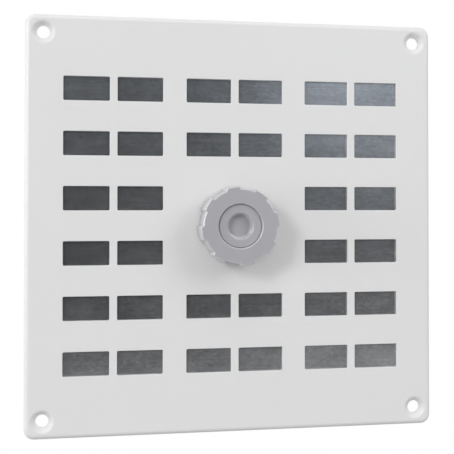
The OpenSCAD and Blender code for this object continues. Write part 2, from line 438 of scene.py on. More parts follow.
@dataclass(frozen=True)
class MouldedPlastic:
    """Moulded plastic with a fine spark-eroded grain, some metal pigment and a gloss of its own."""

    name: str = "knob_plastic"
    colour: Triple = (0.478, 0.47, 0.497)
    tones: Pair = (0.975, 1.025)
    roughness: float = 0.30
    specular: float = 0.5
    gloss: float = 1.0
    gloss_roughness: float = 0.2
    gloss_ior: float = 1.85
    pigment: float = 0.1
    grain: Pattern = Pattern(0.28, sheen=0.10)
    flow: Pattern = Pattern(9.0)
    relief_mm: float = 0.014
    relief_strength: float = 0.4

    def material(self) -> bpy.types.Material:
        """Builds the plastic's material.

        Returns:
            The finished material.
        """
        recipe = Recipe.of_material(self.name)
        grain, flow = recipe.noise(self.grain), recipe.noise(self.flow)
        return recipe.surface({
            "Base Color": recipe.tinted(flow, self.colour, self.tones),
            "Metallic": self.pigment,
            "Roughness": self.roughness + swing(grain, self.grain.sheen),
            "Specular IOR Level": self.specular,
            "Coat Weight": self.gloss,
            "Coat Roughness": self.gloss_roughness,
            "Coat IOR": self.gloss_ior,
            "Normal": recipe.bump(grain, self.relief_mm, self.relief_strength),
        })


@dataclass(frozen=True)
class SpacerPlastic(MouldedPlastic):
    """Natural polyamide: pale and matt, with no pigment and no gloss of its own."""

    name: str = "spacer_plastic"
    colour: Triple = (0.72, 0.71, 0.66)
    roughness: float = 0.4
    gloss: float = 0.0
    pigment: float = 0.0


# Outlines and profiles


@dataclass(frozen=True)
class Outline:
    """Closed line in the x, y plane with its outward directions."""

    points: np.ndarray
    normals: np.ndarray

    def moved_out(self, distance: float) -> np.ndarray:
        """Points of the line moved outwards by a distance."""
        return self.points + distance * self.normals


def round_rectangle(width: float, height: float, radius: float, steps: int) -> Outline:
    """Rectangle with rounded corners around the origin: four quarter circles, each of steps and one points.

    Args:
        width: Size along x.
        height: Size along y.
        radius: Corner radius.
        steps: Facets of each corner.

    Returns:
        The outline, anticlockwise from the middle of the right side.
    """
    quarter = np.arange(4)[:, None] * (math.pi / 2)
    angles = (quarter + np.linspace(0, math.pi / 2, steps + 1)[None, :]).ravel()
    corner = np.repeat(np.array([[1, 1], [-1, 1], [-1, -1], [1, -1]]), steps + 1, axis=0)
    normals = np.stack([np.cos(angles), np.sin(angles)], axis=1)
    centres = corner * np.array([width / 2 - radius, height / 2 - radius])
    return Outline(centres + radius * normals, normals)


def arc(cx: float, cy: float, radius: float, start: float, end: float, steps: int) -> np.ndarray:
    """Points of a circle's arc around (cx, cy) between two angles in degrees."""
    angles = np.radians(np.linspace(start, end, steps + 1))
    return np.stack([cx + radius * np.cos(angles), cy + radius * np.sin(angles)], axis=1)


def joined(*parts: Sequence[Any]) -> np.ndarray:
    """One profile of points from several stretches in order."""
    return np.concatenate([np.atleast_2d(np.asarray(part, float)) for part in parts])


def full_turn(columns: int) -> np.ndarray:
    """Even angles all round in radians, without the last that would be the first again."""
    return np.linspace(0, 2 * math.pi, columns, endpoint=False)


def square_round(width: float, angles: np.ndarray) -> np.ndarray:
    """Radius of a square's sides at each angle: half its width over the larger of |cos| and |sin|."""
    return width / 2 / np.maximum(np.abs(np.cos(angles)), np.abs(np.sin(angles)))


def all_round(radii: np.ndarray, angles: np.ndarray) -> np.ndarray:
    """A radius for each row, repeated at every angle."""
    return np.broadcast_to(radii[:, None], (len(radii), len(angles)))


@dataclass(frozen=True)
class DrawnBox:
    """A CAD node's box in millimetres, in the axes in which the pieces are drawn."""

    left: float
    right: float
    bottom: float
    top: float
    back: float
    front: float

    @classmethod
    def of(cls, node: str) -> DrawnBox:
        """Reads a node's box from the frame."""
        low, high = (np.array(corner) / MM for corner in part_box(node))
        return cls(low[0], high[0], low[2], high[2], -high[1], -low[1])

    @property
    def width(self) -> float:
        """Size along x."""
        return self.right - self.left

    @property
    def height(self) -> float:
        """Size along y."""
        return self.top - self.bottom

    @property
    def depth(self) -> float:
        """Size along h."""
        return self.front - self.back


# Meshes


@dataclass
class Shell:
    """Grids and flat faces of one piece, which weld into a closed mesh.

    Where sharp_degrees is given, edges whose faces meet at more than that angle are shaded sharp.
    """

    sharp_degrees: float | None = None
    points: list[np.ndarray] = field(default_factory=list)
    faces: list[np.ndarray] = field(default_factory=list)
    count: int = 0

    def add(self, points: np.ndarray, faces: np.ndarray) -> None:
        """Adds a stretch of surface.

        Args:
            points: x, y, h of each point in millimetres.
            faces: Numbers of each face's points, counted from 0 in this stretch.
        """
        self.points.append(points)
        self.faces.append(faces + self.count)
        self.count += len(points)

    def grid(self, points: np.ndarray, ring: bool = True, loop: bool = False) -> None:
        """Adds a surface worked out on a grid, with quads between its neighbours.

        Args:
            points: Rows, columns and x, y, h.
            ring: Whether the last column joins the first.
            loop: Whether the last row joins the first.
        """
        rows, columns = points.shape[:2]
        row = np.arange(rows if loop else rows - 1)[:, None]
        column = np.arange(columns if ring else columns - 1)[None, :]
        beside = (column + 1) % columns
        above, below = row * columns, (row + 1) % rows * columns
        corners = np.broadcast_arrays(above + column, above + beside, below + beside, below + column)
        self.add(points.reshape(-1, 3), np.stack(corners, axis=-1).reshape(-1, 4))

    def sweep(self, outline: Outline, profile: np.ndarray, centre: Sequence[float] = (0.0, 0.0)) -> None:
        """Carries a profile along a closed outline.

        A point lies at the outline's point plus the profile's distance along the outline's outward direction,
        at the profile's height.

        Args:
            outline: The closed line.
            profile: Distances out from the line and heights.
            centre: Where the outline's origin goes.
        """
        out = profile[:, None, :1] * outline.normals[None, :, :]
        flat = outline.points[None, :, :] + out + np.asarray(centre)
        heights = np.broadcast_to(profile[:, None, 1:], (*flat.shape[:2], 1))
        self.grid(np.concatenate([flat, heights], axis=-1))

    def turned(
        self, radii: np.ndarray, heights: np.ndarray, angles: np.ndarray, centre: Sequence[float] = (0.0, 0.0)
    ) -> None:
        """Adds a surface round an axis: a point lies at its radius and angle, at its row's height.

        Args:
            radii: Rows of radii, one for all angles or one for each.
            heights: A height for each row.
            angles: Angles of the columns in radians.
            centre: Where the axis stands.
        """
        x = centre[0] + radii * np.cos(angles)
        y = centre[1] + radii * np.sin(angles)
        self.grid(np.stack(np.broadcast_arrays(x, y, heights[:, None]), axis=-1))

    def flat(self, loops: Sequence[np.ndarray], height: float) -> None:
        """Fills the area between an outer loop and the loops inside it.

        Args:
            loops: x and y of each loop's points, the outer one first.
            height: Height of the flat area.
        """
        points = np.concatenate(loops)
        lines = [[Vector((x, y, 0.0)) for x, y in loop] for loop in loops]
        faces = np.array(tessellate_polygon(lines))
        self.add(np.column_stack([points, np.full(len(points), height)]), faces)

    def piece(self, name: str, body: Body, slot: Slot, material: bpy.types.Material, *nodes: str) -> None:
        """Welds the shell into an object that stands for CAD nodes.

        A point drawn at x, y and h lies at x, -h and y in the frame, where the room is on the side of -Y.

        Args:
            name: The piece's name.
            body: The body that it rides on.
            slot: The record's material slot of its finish; not used.
            material: Its finish.
            nodes: The CAD nodes that it replaces.
        """
        drawn = np.concatenate(self.points) * MM
        placed = np.stack([drawn[:, 0], -drawn[:, 2], drawn[:, 1]], axis=1)
        faces = [face for block in self.faces for face in block.tolist()]
        mesh = bpy.data.meshes.new(name)
        mesh.from_pydata(placed.tolist(), [], faces)
        work = bmesh.new()
        work.from_mesh(mesh)
        bmesh.ops.remove_doubles(work, verts=work.verts, dist=WELD_DISTANCE)
        bmesh.ops.dissolve_degenerate(work, edges=work.edges, dist=WELD_DISTANCE)
        bmesh.ops.recalc_face_normals(work, faces=work.faces)
        work.to_mesh(mesh)
        work.free()
        mesh.shade_smooth()
        if self.sharp_degrees is not None:
            mesh.set_sharp_from_angle(angle=math.radians(self.sharp_degrees))
        mesh.materials.append(material)
        made = bpy.data.objects.new(name, mesh)
        bpy.context.scene.collection.objects.link(made)
        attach(made, body.value)
        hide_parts(*nodes)
        LOG.info("%s: %d faces on %s", name, len(mesh.polygons), body.value)


def dress(node: bpy.types.Object, body: Body, material: bpy.types.Material) -> None:
    """Gives its finish to a CAD node that keeps its own mesh.

    Args:
        node: The node's object.
        body: The body that it rides on.
        material: Its finish.
    """
    node.data.materials.clear()
    node.data.materials.append(material)
    LOG.info("%s: dressed on %s", node.name, body.value)


# Sub-assemblies


@dataclass
class WindowPattern:
    """Rows of windows in pairs, the same in the face plate and in the shutter.

    pair_bar is the bar inside a pair and pair_gap the one between pairs. The middle pair is left out of
    bare_rows rows, where the knob stands.
    """

    width: float = 18.0
    height: float = 9.5
    corner_r: float = 0.5
    corner_steps: int = 5
    rows: int = 6
    row_pitch: float = 21.5
    pairs: int = 3
    pair_bar: float = 3.0
    pair_gap: float = 9.3
    bare_rows: int = 2

    def centres(self) -> np.ndarray:
        """Works out where the windows are, without those that the knob would cover.

        Returns:
            x and y of each window's middle.
        """
        pair_pitch = 2 * self.width + self.pair_bar + self.pair_gap
        across = (np.arange(self.pairs) - (self.pairs - 1) / 2) * pair_pitch
        up = (np.arange(self.rows) - (self.rows - 1) / 2) * self.row_pitch
        side = np.array([-0.5, 0.5]) * (self.width + self.pair_bar)
        y, x, s = np.meshgrid(up, across, side, indexing="ij")
        bare = (np.abs(x) < pair_pitch / 2) & (np.abs(y) < self.bare_rows * self.row_pitch / 2)
        return np.stack([(x + s)[~bare], y[~bare]], axis=1)

    def outline(self) -> Outline:
        """One window's edge around the origin."""
        return round_rectangle(self.width, self.height, self.corner_r, self.corner_steps)


@dataclass
class FacePlate:
    """The pressed and coated face plate: turned-back edge, windows, dimples and the neck's slot.

    dimple_slope is how far a dimple's slope runs inwards, and dimple_brim and dimple_foot are the radii of
    the bends above and below it. margin is how far the surface of each edge reaches into the flat areas.
    """

    finish: PowderCoat
    windows: WindowPattern
    sheet: float = 1.0
    bend_r: float = 2.0
    bend_steps: int = 12
    inner_bend_steps: int = 8
    corner_r: float = 4.0
    fixing_r: float = 2.5
    fixing_inset: float = 7.0
    dimple_r: float = 4.9
    dimple_slope: float = 1.5
    dimple_brim: float = 1.5
    dimple_foot: float = 0.3
    dimple_foot_steps: int = 4
    dimple_columns: int = 64
    slot_width: float = 6.0
    edge_round: float = 0.2
    edge_steps: int = 6
    back_round: float = 0.1
    back_steps: int = 2
    round_steps: int = 10
    small_steps: int = 3
    margin: float = 0.03
    shell: Shell = field(default_factory=Shell)
    box: DrawnBox = field(init=False)

    def build(self) -> None:
        """Makes the plate in place of its CAD node."""
        self.box = DrawnBox.of("front_plate")
        width, height = self.box.width - 2 * self.bend_r, self.box.height - 2 * self.bend_r
        rim = round_rectangle(width, height, self.corner_r - self.bend_r, self.round_steps)
        self.shell.sweep(rim, self._rim_profile())
        edges = [rim.moved_out(-self.margin), *self._punch_holes()]
        brims, bulges = self._press_dimples()
        self.shell.flat(edges + brims, self.box.depth)
        self.shell.flat(edges + bulges, self.box.depth - self.sheet)
        coat = self.finish.material()
        self.shell.piece("face_plate_pressing", Body.PLATE, Slot.WHITE_COAT, coat, "front_plate")

    def _punch_holes(self) -> list[np.ndarray]:
        """Adds the edges of the windows and of the slot in which the bolt's neck slides.

        Returns:
            The loop of each hole in the flat areas.
        """
        travel, corner = self.windows.row_pitch / 2, self.windows.corner_r
        slot = round_rectangle(self.slot_width, self.slot_width + travel, corner, self.windows.corner_steps)
        cuts = [(self.windows.outline(), centre) for centre in self.windows.centres()]
        cuts.append((slot, np.array([0.0, travel / 2])))
        for outline, centre in cuts:
            self.shell.sweep(outline, self._cut_profile(), centre)
        return [outline.moved_out(self.edge_round + self.margin) + centre for outline, centre in cuts]

    def _press_dimples(self) -> tuple[list[np.ndarray], list[np.ndarray]]:
        """Adds the four corner dimples with their fixing holes.

        Returns:
            The loop of each dimple in the face, and in the back of the sheet.
        """
        angles = full_turn(self.dimple_columns)
        circle = np.stack([np.cos(angles), np.sin(angles)], axis=1)
        profile = self._dimple_profile()
        reach = np.array([self.box.width / 2 - self.fixing_inset, self.box.height / 2 - self.fixing_inset])
        centres = [np.array(corner) * reach for corner in itertools.product((-1, 1), repeat=2)]
        for centre in centres:
            self.shell.turned(profile[:, :1], profile[:, 1], angles, centre)
        brims = [centre + profile[0, 0] * circle for centre in centres]
        bulges = [centre + profile[-1, 0] * circle for centre in centres]
        return brims, bulges

    def _rim_profile(self) -> np.ndarray:
        """Draws the turned-back edge: outer bend, side, rounded rim, inner side and inner bend.

        Returns:
            Distances out from the bend's centre line and heights, from the face to the sheet's back.
        """
        face, bend, inner = self.box.depth, self.bend_r, self.bend_r - self.sheet
        foot = self.sheet / 4
        return joined(
            (-self.margin, face),
            arc(0, face - bend, bend, 90, 0, self.bend_steps),
            arc(bend - foot, foot, foot, 0, -90, self.small_steps),
            arc(inner + foot, foot, foot, -90, -180, self.small_steps),
            arc(0, face - bend, inner, 0, 90, self.inner_bend_steps),
            (-self.margin, face - self.sheet),
        )

    def _cut_profile(self) -> np.ndarray:
        """Draws a punched hole's edge: rounded by the coat at the face and at the back, straight between.

        Returns:
            Distances out from the hole's line and heights.
        """
        face, brim, burr = self.box.depth, self.edge_round, self.back_round
        back = face - self.sheet
        return joined(
            (brim + self.margin, face),
            arc(brim, face - brim, brim, 90, 180, self.edge_steps),
            arc(burr, back + burr, burr, 180, 270, self.back_steps),
            (brim + self.margin, back),
        )

    def _dimple_profile(self) -> np.ndarray:
        """Draws a dimple from its brim down its slope to the fixing hole, and back up behind the sheet.

        A bend of radius r begins r times pull before its corner, where pull is the tangent of half its angle.

        Returns:
            Radii and heights.
        """
        face, floor = self.box.depth, self.sheet
        sheet_back = face - self.sheet
        slope = math.degrees(math.atan2(face - floor, self.dimple_slope))
        pull = math.tan(math.radians(slope) / 2)
        brim_r = self.dimple_r - self.dimple_brim * pull
        foot_r = brim_r - self.dimple_slope
        brim, foot, edge = self.dimple_brim, self.dimple_foot, self.back_round
        return joined(
            (self.dimple_r + self.margin, face),
            arc(self.dimple_r, face - brim, brim, 90, 90 + slope, self.round_steps),
            arc(foot_r - foot * pull, floor + foot, foot, 270 + slope, 270, self.dimple_foot_steps),
            arc(self.fixing_r + edge, floor - edge, edge, 90, 180, self.small_steps),
            arc(self.fixing_r + edge, edge, edge, 180, 270, self.small_steps),
            (foot_r + self.sheet * pull, 0.0),
            (brim_r + self.sheet * pull, sheet_back),
            (self.dimple_r + self.margin, sheet_back),
        )


@dataclass
class GuideAngles:
    """The two folded angle strips welded to the plate's back, whose lips reach behind the shutter.

    edge is the radius of the rounded edges at a lip's tip.
    """

    finish: PowderCoat
    sheet: float = 1.0
    bend_r: float = 0.5
    bend_steps: int = 8
    edge: float = 0.15
    edge_steps: int = 3
    sharp_degrees: float = 40.0

    def build(self) -> None:
        """Makes both strips in place of their CAD nodes."""
        material = self.finish.material()
        for side, node in ((-1, "left_guide"), (1, "right_guide")):
            box = DrawnBox.of(node)
            section = self._section(box) * np.array([side, 1.0])
            ends = np.array([box.bottom, box.top])
            sides = np.broadcast_arrays(section[:, :1], ends[None, :], section[:, 1:])
            shell = Shell(self.sharp_degrees)
            shell.grid(np.stack(sides, axis=-1), ring=False, loop=True)
            self._caps(shell, section, ends)
            shell.piece(node + "_angle", Body.PLATE, Slot.WHITE_COAT, material, node)

    def _section(self, box: DrawnBox) -> np.ndarray:
        """Draws the strip's section down the web and round the bend to the lip's tip and back.

        Args:
            box: The strip's box, on either side of the plate.

        Returns:
            Distances from the plate's middle and heights.
        """
        tip, web = sorted((abs(box.left), abs(box.right)))
        outer = self.bend_r + self.sheet
        bend_x, bend_h, edge = web - outer, box.back + outer, self.edge
        return joined(
            (web, box.front),
            (web - self.sheet, box.front),
            arc(bend_x, bend_h, self.bend_r, 0, -90, self.bend_steps),
            arc(tip + edge, box.back + self.sheet - edge, edge, 90, 180, self.edge_steps),
            arc(tip + edge, box.back + edge, edge, 180, 270, self.edge_steps),
            arc(bend_x, bend_h, outer, -90, 0, self.bend_steps),
        )

    @staticmethod
    def _caps(shell: Shell, section: np.ndarray, ends: np.ndarray) -> None:
        """Closes both ends of a strip.

        Args:
            shell: The strip's shell.
            section: x and h of the section's points.
            ends: y of each end.
        """
        faces = np.array(tessellate_polygon([[Vector((x, h, 0.0)) for x, h in section]]))
        for y in ends:
            points = np.stack([section[:, 0], np.full(len(section), y), section[:, 1]], axis=1)
            shell.add(points, faces)


@dataclass
class ShutterUnit:
    """The sliding shutter with its bolt and spacer.

    neck_end is the height at which the neck ends and the thread begins, thread_flat the share of the pitch
    over which crest and root are flat, and thread_end the length of the tip's chamfer. head_edge holds how
    far two points of the head's edge lie inside its radius and below its seat, and seat_ring_r is the radius
    of the row of points between that edge and the neck.
    """

    metal: RolledMetal
    zinc: ZincPlate
    spacer: SpacerPlastic
    bolt_d: float = 5.0
    neck_width: float = 5.4
    neck_chamfer: float = 0.6
    neck_root: float = 0.01
    neck_bevel: float = 0.15
    neck_end: float = 2.3
    thread_pitch: float = 0.8
    thread_depth: float = 0.45
    thread_flat: float = 0.1
    thread_end: float = 0.4
    thread_steps: int = 10
    head_height: float = 3.0
    head_steps: int = 12
    head_edge: tuple[Pair, Pair] = ((0.02, 0.08), (0.12, 0.0))
    seat_ring_r: float = 4.05
    spacer_hole: float = 5.6
    spacer_edge: float = 0.25
    spacer_edge_steps: int = 4
    columns: int = 96
    sharp_degrees: float = 40.0

    def build(self, frame: dict[str, Any]) -> None:
        """Dresses the shutter and makes its bolt and spacer.

        Args:
            frame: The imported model.
        """
        dress(frame["nodes"]["shutter_plate"], Body.SHUTTER, self.metal.material())
        self._bolt()
        self._spacer()

    def _head_profile(self, head_r: float, back: float) -> np.ndarray:
        """Draws the bolt's head: a dome that is part of a sphere, its rounded edge and its flat seat.

        The sphere's radius is the sum of the squares of the head's radius and height over twice the height.

        Args:
            head_r: Radius of the head.
            back: Height of the dome's top, which faces the wall.

        Returns:
            Radii and heights.
        """
        dome_r = (head_r**2 + self.head_height**2) / (2 * self.head_height)
        half_angle = math.degrees(math.asin(head_r / dome_r))
        dome = arc(0, back + dome_r, dome_r, -90, -90 + half_angle, self.head_steps)
        seat = back + self.head_height
        edge = [(head_r - inward, seat - below) for inward, below in self.head_edge]
        return joined(dome[:-1], *edge, (self.seat_ring_r, seat))

    def _bolt(self) -> None:
        """Makes the domed head, chamfered square neck and threaded shank as one turned surface.

        The neck's radius at an angle is the nearer of a square's side and its corner chamfer. The thread's
        radius falls from crest to root and back once for each turn, along a helix.
        """
        box = DrawnBox.of("clamp_bolt")
        tip, seat, bolt_r = box.front, box.back + self.head_height, self.bolt_d / 2
        root_r = bolt_r - self.thread_depth
        angles = full_turn(self.columns)
        head = self._head_profile(box.width / 2, box.back)
        chamfer = (self.neck_width - self.neck_chamfer) / (np.abs(np.cos(angles)) + np.abs(np.sin(angles)))
        neck = np.minimum(square_round(self.neck_width, angles), chamfer)
        neck_h = np.array([seat, seat + self.neck_root, self.neck_end - self.neck_bevel, self.neck_end])
        neck_r = neck[None, :] - np.array([0, 0, 0, self.neck_bevel])[:, None]
        shank_h = np.arange(self.neck_end, tip - self.thread_end, self.thread_pitch / self.thread_steps)
        turn = shank_h[:, None] / self.thread_pitch - angles[None, :] / (2 * math.pi)
        wave = np.abs(2 * (turn % 1.0) - 1)
        fall = np.clip((wave - self.thread_flat) / (1 - 2 * self.thread_flat), 0, 1)
        fade = np.clip((shank_h - self.neck_end) / self.thread_pitch, 0, 1)[:, None]
        shank_r = bolt_r - self.thread_depth * fall * fade
        end_r = all_round(np.array([root_r, 0.0]), angles)
        shell = Shell(self.sharp_degrees)
        radii = np.concatenate([all_round(head[:, 0], angles), neck_r, shank_r, end_r])
        shell.turned(radii, np.concatenate([head[:, 1], neck_h, shank_h, [tip, tip]]), angles)
        shell.piece("square_neck_bolt", Body.SHUTTER, Slot.ZINC, self.zinc.material(), "clamp_bolt")

    def _spacer(self) -> None:
        """Makes the plastic spacer: a disc with rounded edges around the neck's square hole."""
        box = DrawnBox.of("spacer_washer")
        angles = full_turn(self.columns)
        hole = square_round(self.spacer_hole, angles)[None, :]
        edge, steps = self.spacer_edge, self.spacer_edge_steps
        rim_r = box.width / 2 - edge
        profile = joined(
            arc(rim_r, box.back + edge, edge, -90, 0, steps),
            arc(rim_r, box.front - edge, edge, 0, 90, steps),
        )
        side = all_round(profile[:, 0], angles)
        heights = np.concatenate([profile[:, 1], [box.front, box.back], profile[:1, 1]])
        shell = Shell(self.sharp_degrees)
        shell.turned(np.concatenate([side, hole, hole, side[:1]]), heights, angles)
        shell.piece("neck_spacer", Body.SHUTTER, Slot.SPACER, self.spacer.material(), "spacer_washer")


@dataclass
class ClampKnob:
    """The lobed knob with its brass insert, and the washer that it clamps on.

    wall is the skirt's thickness in the flutes, and front the thickness behind the recess. lobe_turn is the
    first lobe's angle in degrees, lobe_set how far inside the outer radius the centre of a lobe's disc lies,
    and crease how soft the edges between lobes and flutes are. flank_zone holds the degrees from a lobe's
    middle between which its flank lies. hub_end, insert_end and tip_bore_end are heights, rib_set is how far
    inside the skirt's edge the ribs end, and crisp is the spacing of the rows of points at edges that stay
    crisp.
    """

    plastic: MouldedPlastic
    brass: TurnedBrass
    zinc: ZincPlate
    lobes: int = 8
    lobe_turn: float = 11.0
    flute_depth: float = 0.95
    lobe_r: float = 3.0
    lobe_set: float = 1.6
    crease: float = 0.08
    edge_r: float = 0.6
    wall: float = 2.0
    front: float = 2.0
    recess_r: float = 8.85
    recess_floor_r: float = 8.45
    recess_depth: float = 1.0
    recess_rim: float = 0.16
    groove_width: float = 0.28
    groove_depth: float = 0.42
    cup_r: float = 5.2
    cup_floor_r: float = 4.2
    cup_depth: float = 4.0
    cup_lip: float = 0.3
    crisp: float = 0.08
    hub_wall: float = 1.75
    hub_end: float = 3.9
    skirt_round: float = 0.25
    pocket_round: float = 0.4
    insert_r: float = 3.77
    insert_end: float = 9.9
    tip_bore_r: float = 3.0
    tip_bore_end: float = 10.4
    ribs: int = 4
    rib_thickness: float = 1.4
    rib_set: float = 2.5
    rib_corner_r: float = 0.2
    washer_bore_r: float = 2.65
    washer_soft: float = 0.2
    washer_sharp: float = 0.06
    washer_columns: int = 96
    flank_zone: Pair = (7.0, 13.5)
    flank_steps: int = 26
    plain_steps: int = 10
    edge_steps: int = 6
    round_steps: int = 4
    foot_steps: int = 3
    small_steps: int = 2
    sharp_degrees: float = 50.0
    box: DrawnBox = field(init=False)

    @property
    def inner_r(self) -> float:
        """Radius of the skirt's inner side."""
        return self.box.height / 2 - self.flute_depth - self.wall

    @property
    def hub_r(self) -> float:
        """Radius of the hub."""
        return self.cup_r + self.hub_wall

    @property
    def recess(self) -> float:
        """Height of the recess's floor."""
        return self.box.front - self.recess_depth

    @property
    def pocket(self) -> float:
        """Height of the floor of the pocket between hub and skirt."""
        return self.recess - self.front

    def build(self, frame: dict[str, Any]) -> None:
        """Makes the knob and its washer and dresses the insert.

        Args:
            frame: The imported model.
        """
        self._moulding()
        self._washer()
        dress(frame["nodes"]["knob_insert"], Body.KNOB, self.brass.material())

    def _angles(self) -> np.ndarray:
        """Works out the columns' angles, closer together over the lobes' flanks.

        From a lobe's middle to the flute's, the columns have three even spacings, the closest over the flank.
        The other half of the lobe is the mirror image, and the pattern repeats for each lobe.

        Returns:
            The angles in radians.
        """
        first, last = self.flank_zone
        flute = 180 / self.lobes
        right = np.concatenate([
            np.linspace(0, first, self.plain_steps, endpoint=False),
            np.linspace(first, last, self.flank_steps, endpoint=False),
            np.linspace(last, flute, self.plain_steps, endpoint=False),
        ])
        pattern = np.concatenate([right, 2 * flute - np.append(right[1:], flute)[::-1]])
        turns = self.lobe_turn + 2 * flute * np.arange(self.lobes)
        return np.radians(turns[:, None] + pattern[None, :]).ravel()

    def _outline(self, angles: np.ndarray, inset: float) -> np.ndarray:
        """Works out the radius of the lobed side at each angle, moved in by an inset.

        A lobe is the outer circle cut to a disc that stands around a centre inside its top, and the flutes'
        floor is a circle. Their radii less the inset join by a soft minimum and a soft maximum, a and b by
        k ln(exp(a / k) + exp(b / k)), which round the creases.

        Args:
            angles: Angles in radians.
            inset: Distance that the side moves in.

        Returns:
            The radii.
        """
        outer = self.box.height / 2
        step = 2 * math.pi / self.lobes
        from_lobe = (angles - math.radians(self.lobe_turn) + step / 2) % step - step / 2
        centre, disc = outer - self.lobe_set, self.lobe_r - inset
        inside = np.maximum(disc**2 - (centre * np.sin(from_lobe)) ** 2, 0)
        flank = np.where(inside > 0, centre * np.cos(from_lobe) + np.sqrt(inside), 0.0)
        crease = self.crease
        lobe = -crease * np.logaddexp(-flank / crease, -(outer - inset) / crease)
        return crease * np.logaddexp(lobe / crease, (outer - self.flute_depth - inset) / crease)

    def _front_profile(self) -> np.ndarray:
        """Draws the front from the cup's floor up its cone and over its lip, groove and recess wall.

        A round of radius r begins r times the tangent of half its angle before its corner, as in a dimple.

        Returns:
            Radii and heights.
        """
        face, recess, floor = self.box.front, self.recess, self.box.front - self.cup_depth
        crisp, lip, rim = self.crisp, self.cup_lip, self.recess_rim
        slope = math.degrees(math.atan2(recess - floor, self.cup_r - self.cup_floor_r))
        pull = math.tan(math.radians(slope) / 2)
        run = (self.recess_r - self.recess_floor_r) / self.recess_depth
        flare = math.degrees(math.atan2(1, run))
        rim_r = self.recess_r + rim * math.tan(math.radians(flare) / 2)
        groove_r, groove_floor = self.recess_floor_r - self.groove_width, recess - self.groove_depth
        return joined(
            (0.0, floor),
            (self.cup_floor_r - crisp, floor),
            (self.cup_floor_r, floor),
            (self.cup_floor_r + crisp / pull, floor + 2 * crisp),
            arc(self.cup_r + lip * pull, recess - lip, lip, 90 + slope, 90, self.edge_steps),
            (self.cup_r + 2 * self.pocket_round, recess),
            (groove_r - crisp, recess),
            (groove_r, recess),
            (groove_r, groove_floor),
            (self.recess_floor_r, groove_floor),
            (self.recess_floor_r, recess),
            (self.recess_floor_r + crisp * run, recess + crisp),
            arc(rim_r, face - rim, rim, 90 + flare, 90, self.round_steps),
            (self.recess_r + 2 * rim, face),
        )

    def _side_profile(self) -> np.ndarray:
        """Draws the side from the face's edge down to the skirt's.

        Returns:
            Insets from the lobed outline and heights.
        """
        face, skirt, edge, fine = self.box.front, self.box.back, self.edge_r, self.skirt_round
        return joined(
            (edge + 2 * self.crisp, face),
            arc(edge, face - edge, edge, 90, 180, self.edge_steps),
            arc(fine, skirt + fine, fine, 180, 270, self.foot_steps),
        )

    def _back_profile(self) -> np.ndarray:
        """Draws the inside from the skirt's edge up to the pocket's floor, down the hub and up its bore.

        Returns:
            Radii and heights.
        """
        inner, hub, pocket, skirt = self.inner_r, self.hub_r, self.pocket, self.box.back
        fine, soft = self.skirt_round, self.pocket_round
        return joined(
            arc(inner + fine, skirt + fine, fine, -90, -180, self.foot_steps),
            arc(inner - soft, pocket - soft, soft, 0, 90, self.round_steps),
            arc(hub + soft, pocket - soft, soft, 90, 180, self.round_steps),
            arc(hub - fine, self.hub_end + fine, fine, 0, -90, self.foot_steps),
            (self.insert_r, self.hub_end),
            (self.insert_r, self.insert_end),
            (self.tip_bore_r, self.insert_end),
            (self.tip_bore_r, self.tip_bore_end),
            (0.0, self.tip_bore_end),
        )

    def _moulding(self) -> None:
        """Makes the knob as one surface from the cup's floor over the front and side to the hub's bore.

        The rows of the front and back are circles, and those of the side are the lobed outline less an inset.
        """
        self.box = DrawnBox.of("knob")
        angles = self._angles()
        front, side, back = self._front_profile(), self._side_profile(), self._back_profile()
        radii = [
            all_round(front[:, 0], angles),
            np.stack([self._outline(angles, inset) for inset in side[:, 0]]),
            all_round(back[:, 0], angles),
        ]
        shell = Shell(self.sharp_degrees)
        shell.turned(np.concatenate(radii), np.concatenate([front[:, 1], side[:, 1], back[:, 1]]), angles)
        self._ribs(shell)
        shell.piece("knob_moulding", Body.KNOB, Slot.KNOB, self.plastic.material(), "knob")

    def _ribs(self, shell: Shell) -> None:
        """Adds ribs between the hub and the outer wall, each a closed block that ends inside both.

        Args:
            shell: The knob's shell.
        """
        reach = self.rib_thickness / 2
        length = self.inner_r - self.hub_r + 2 * reach
        block = round_rectangle(length, self.rib_thickness, self.rib_corner_r, self.small_steps)
        middle = np.array([(self.inner_r + self.hub_r) / 2, 0.0])
        ends = (self.box.back + self.rib_set, self.pocket + reach)
        for turn in full_turn(self.ribs) + math.radians(self.lobe_turn):
            spin = np.array([[math.cos(turn), math.sin(turn)], [-math.sin(turn), math.cos(turn)]])
            loop = (block.points + middle) @ spin
            shell.grid(np.stack([np.column_stack([loop, np.full(len(loop), h)]) for h in ends]))
            for h in ends:
                shell.flat([loop], h)

    def _washer(self) -> None:
        """Makes the punched steel washer: rounded edge where the punch entered, sharper where it left."""
        box = DrawnBox.of("knob_washer")
        outer, bore, soft, sharp = box.width / 2, self.washer_bore_r, self.washer_soft, self.washer_sharp
        profile = joined(
            arc(outer - soft, box.front - soft, soft, 90, 0, self.round_steps),
            arc(outer - sharp, box.back + sharp, sharp, 0, -90, self.small_steps),
            arc(bore + sharp, box.back + sharp, sharp, -90, -180, self.small_steps),
            arc(bore + soft, box.front - soft, soft, 180, 90, self.round_steps),
        )
        profile = joined(profile, profile[:1])
        shell = Shell()
        shell.turned(profile[:, :1], profile[:, 1], full_turn(self.washer_columns))
        shell.piece("bearing_washer", Body.KNOB_SEAT, Slot.ZINC, self.zinc.material(), "knob_washer")


# Studio


def stage_panel(name: str, corners: np.ndarray, material: bpy.types.Material) -> bpy.types.Object:
    """Makes one flat panel of the stage.

    Args:
        name: The panel's name.
        corners: Its four corners in metres, in order.
        material: Its material.

    Returns:
        The panel's object.
    """
    mesh = bpy.data.meshes.new(name)
    mesh.from_pydata(corners.tolist(), [], [(0, 1, 2, 3)])
    mesh.materials.append(material)
    made = bpy.data.objects.new(name, mesh)
    bpy.context.scene.collection.objects.link(made)
    return made


